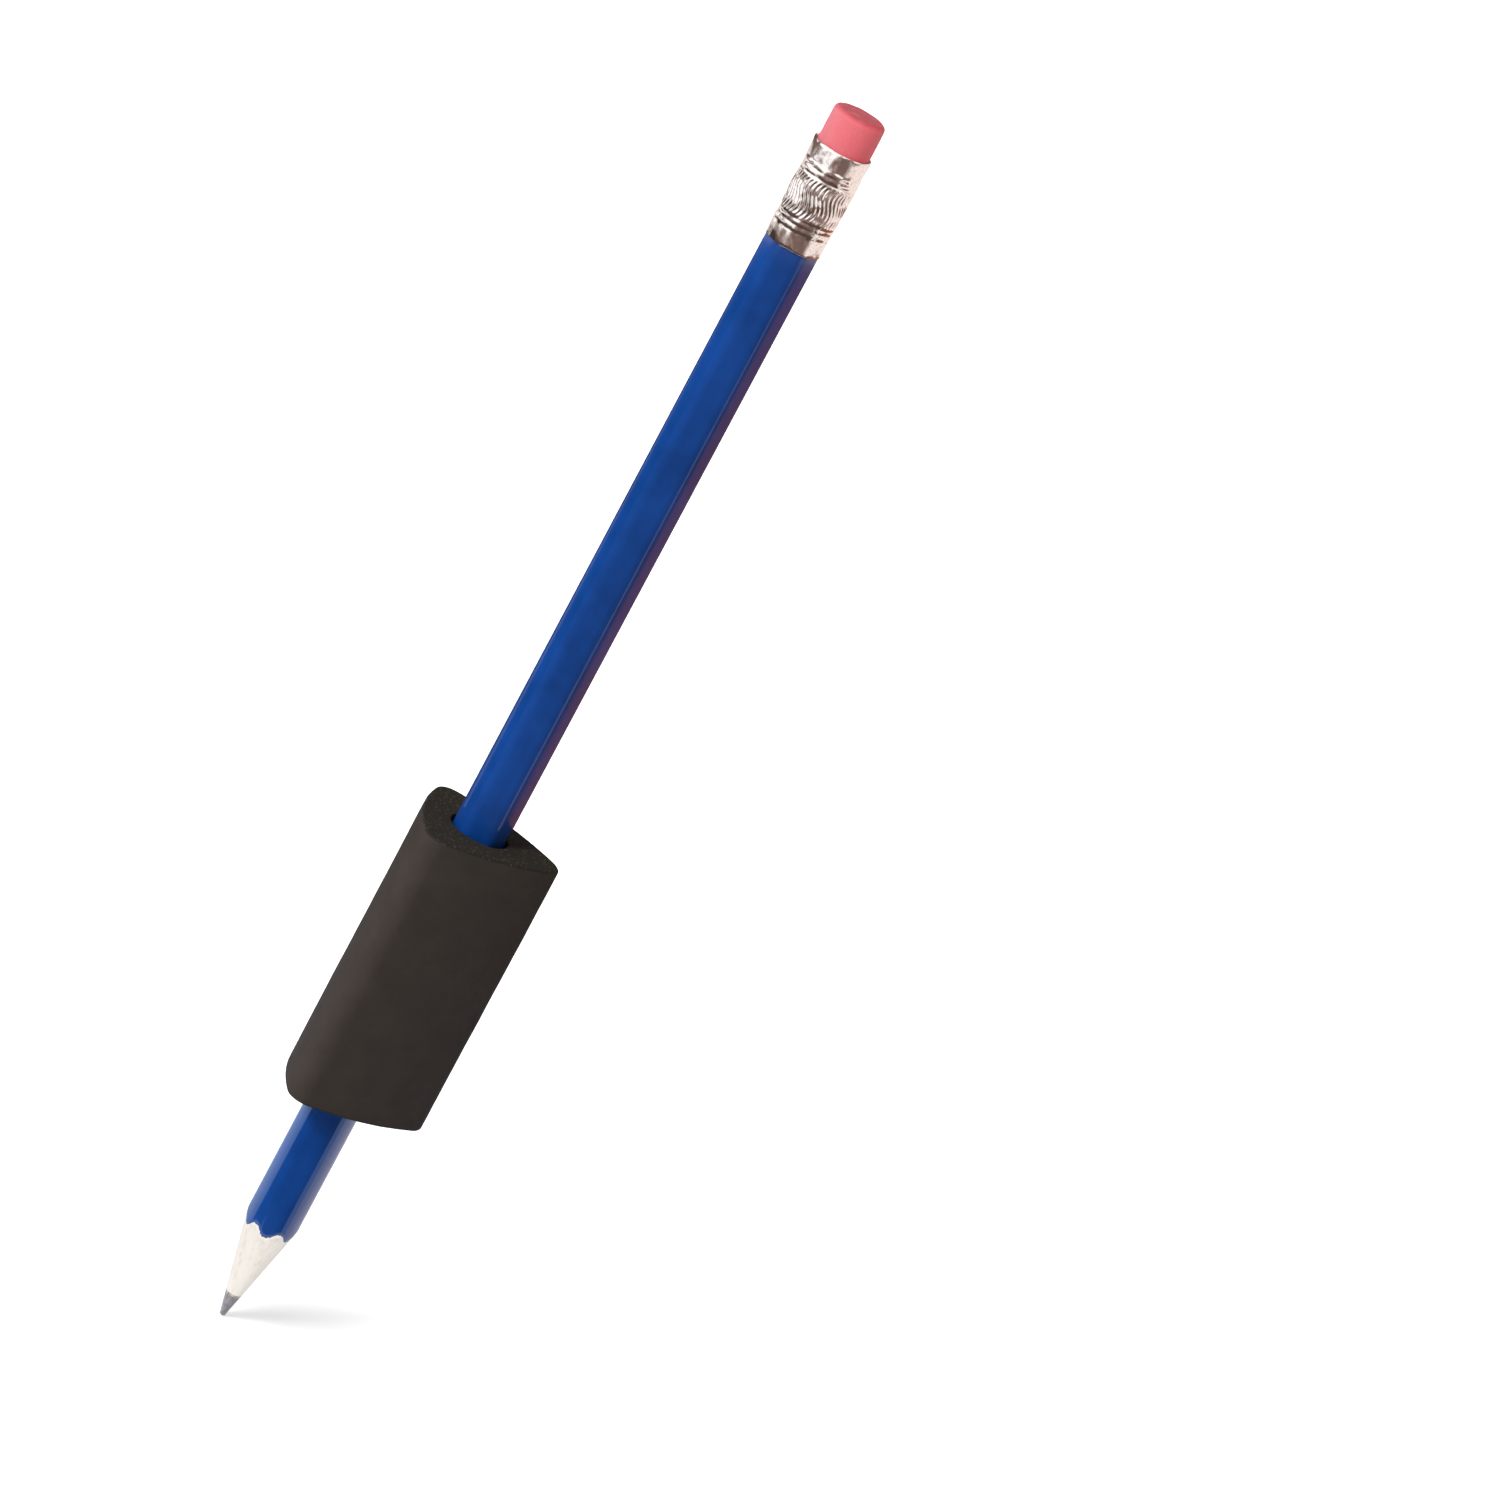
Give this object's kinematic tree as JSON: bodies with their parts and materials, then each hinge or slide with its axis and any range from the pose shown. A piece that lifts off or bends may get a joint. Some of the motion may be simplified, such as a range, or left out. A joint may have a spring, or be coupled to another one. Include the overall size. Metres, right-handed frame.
{
  "type": "pencil with soft grip sleeve",
  "caption": "Sharpened hexagonal wood-cased pencil with a crimped ferrule and eraser, carrying a soft rounded-triangular grip sleeve that slides along the barrel.",
  "frame": {"origin": "middle of the grip sleeve's bore, on the pencil's axis, where the fingers hold it", "axes": "+Z along the pencil from the writing point to the eraser; +X towards one corner of the sleeve's rounded triangle"},
  "size_m": [0.0202, 0.0214, 0.189],
  "materials": {
    "grip_foam": "matte",
    "casing_wood": "matte",
    "graphite": "satin",
    "blue_lacquer": "gloss",
    "ferrule_metal": "polished",
    "eraser_rubber": "matte"
  },
  "bodies": {
    "pencil": {"front_slat": "casing_wood", "back_slat": "casing_wood", "lead_core": "graphite", "lacquer_coat": "blue_lacquer", "ferrule": "ferrule_metal", "eraser": "eraser_rubber"},
    "grip": {"grip_sleeve": "grip_foam"}
  },
  "joints": [
    {"name": "grip_slide", "type": "slide", "parent": "pencil", "child": "grip", "axis": [0, 0, 1], "range_m": [-0.02, 0.09]}
  ]
}
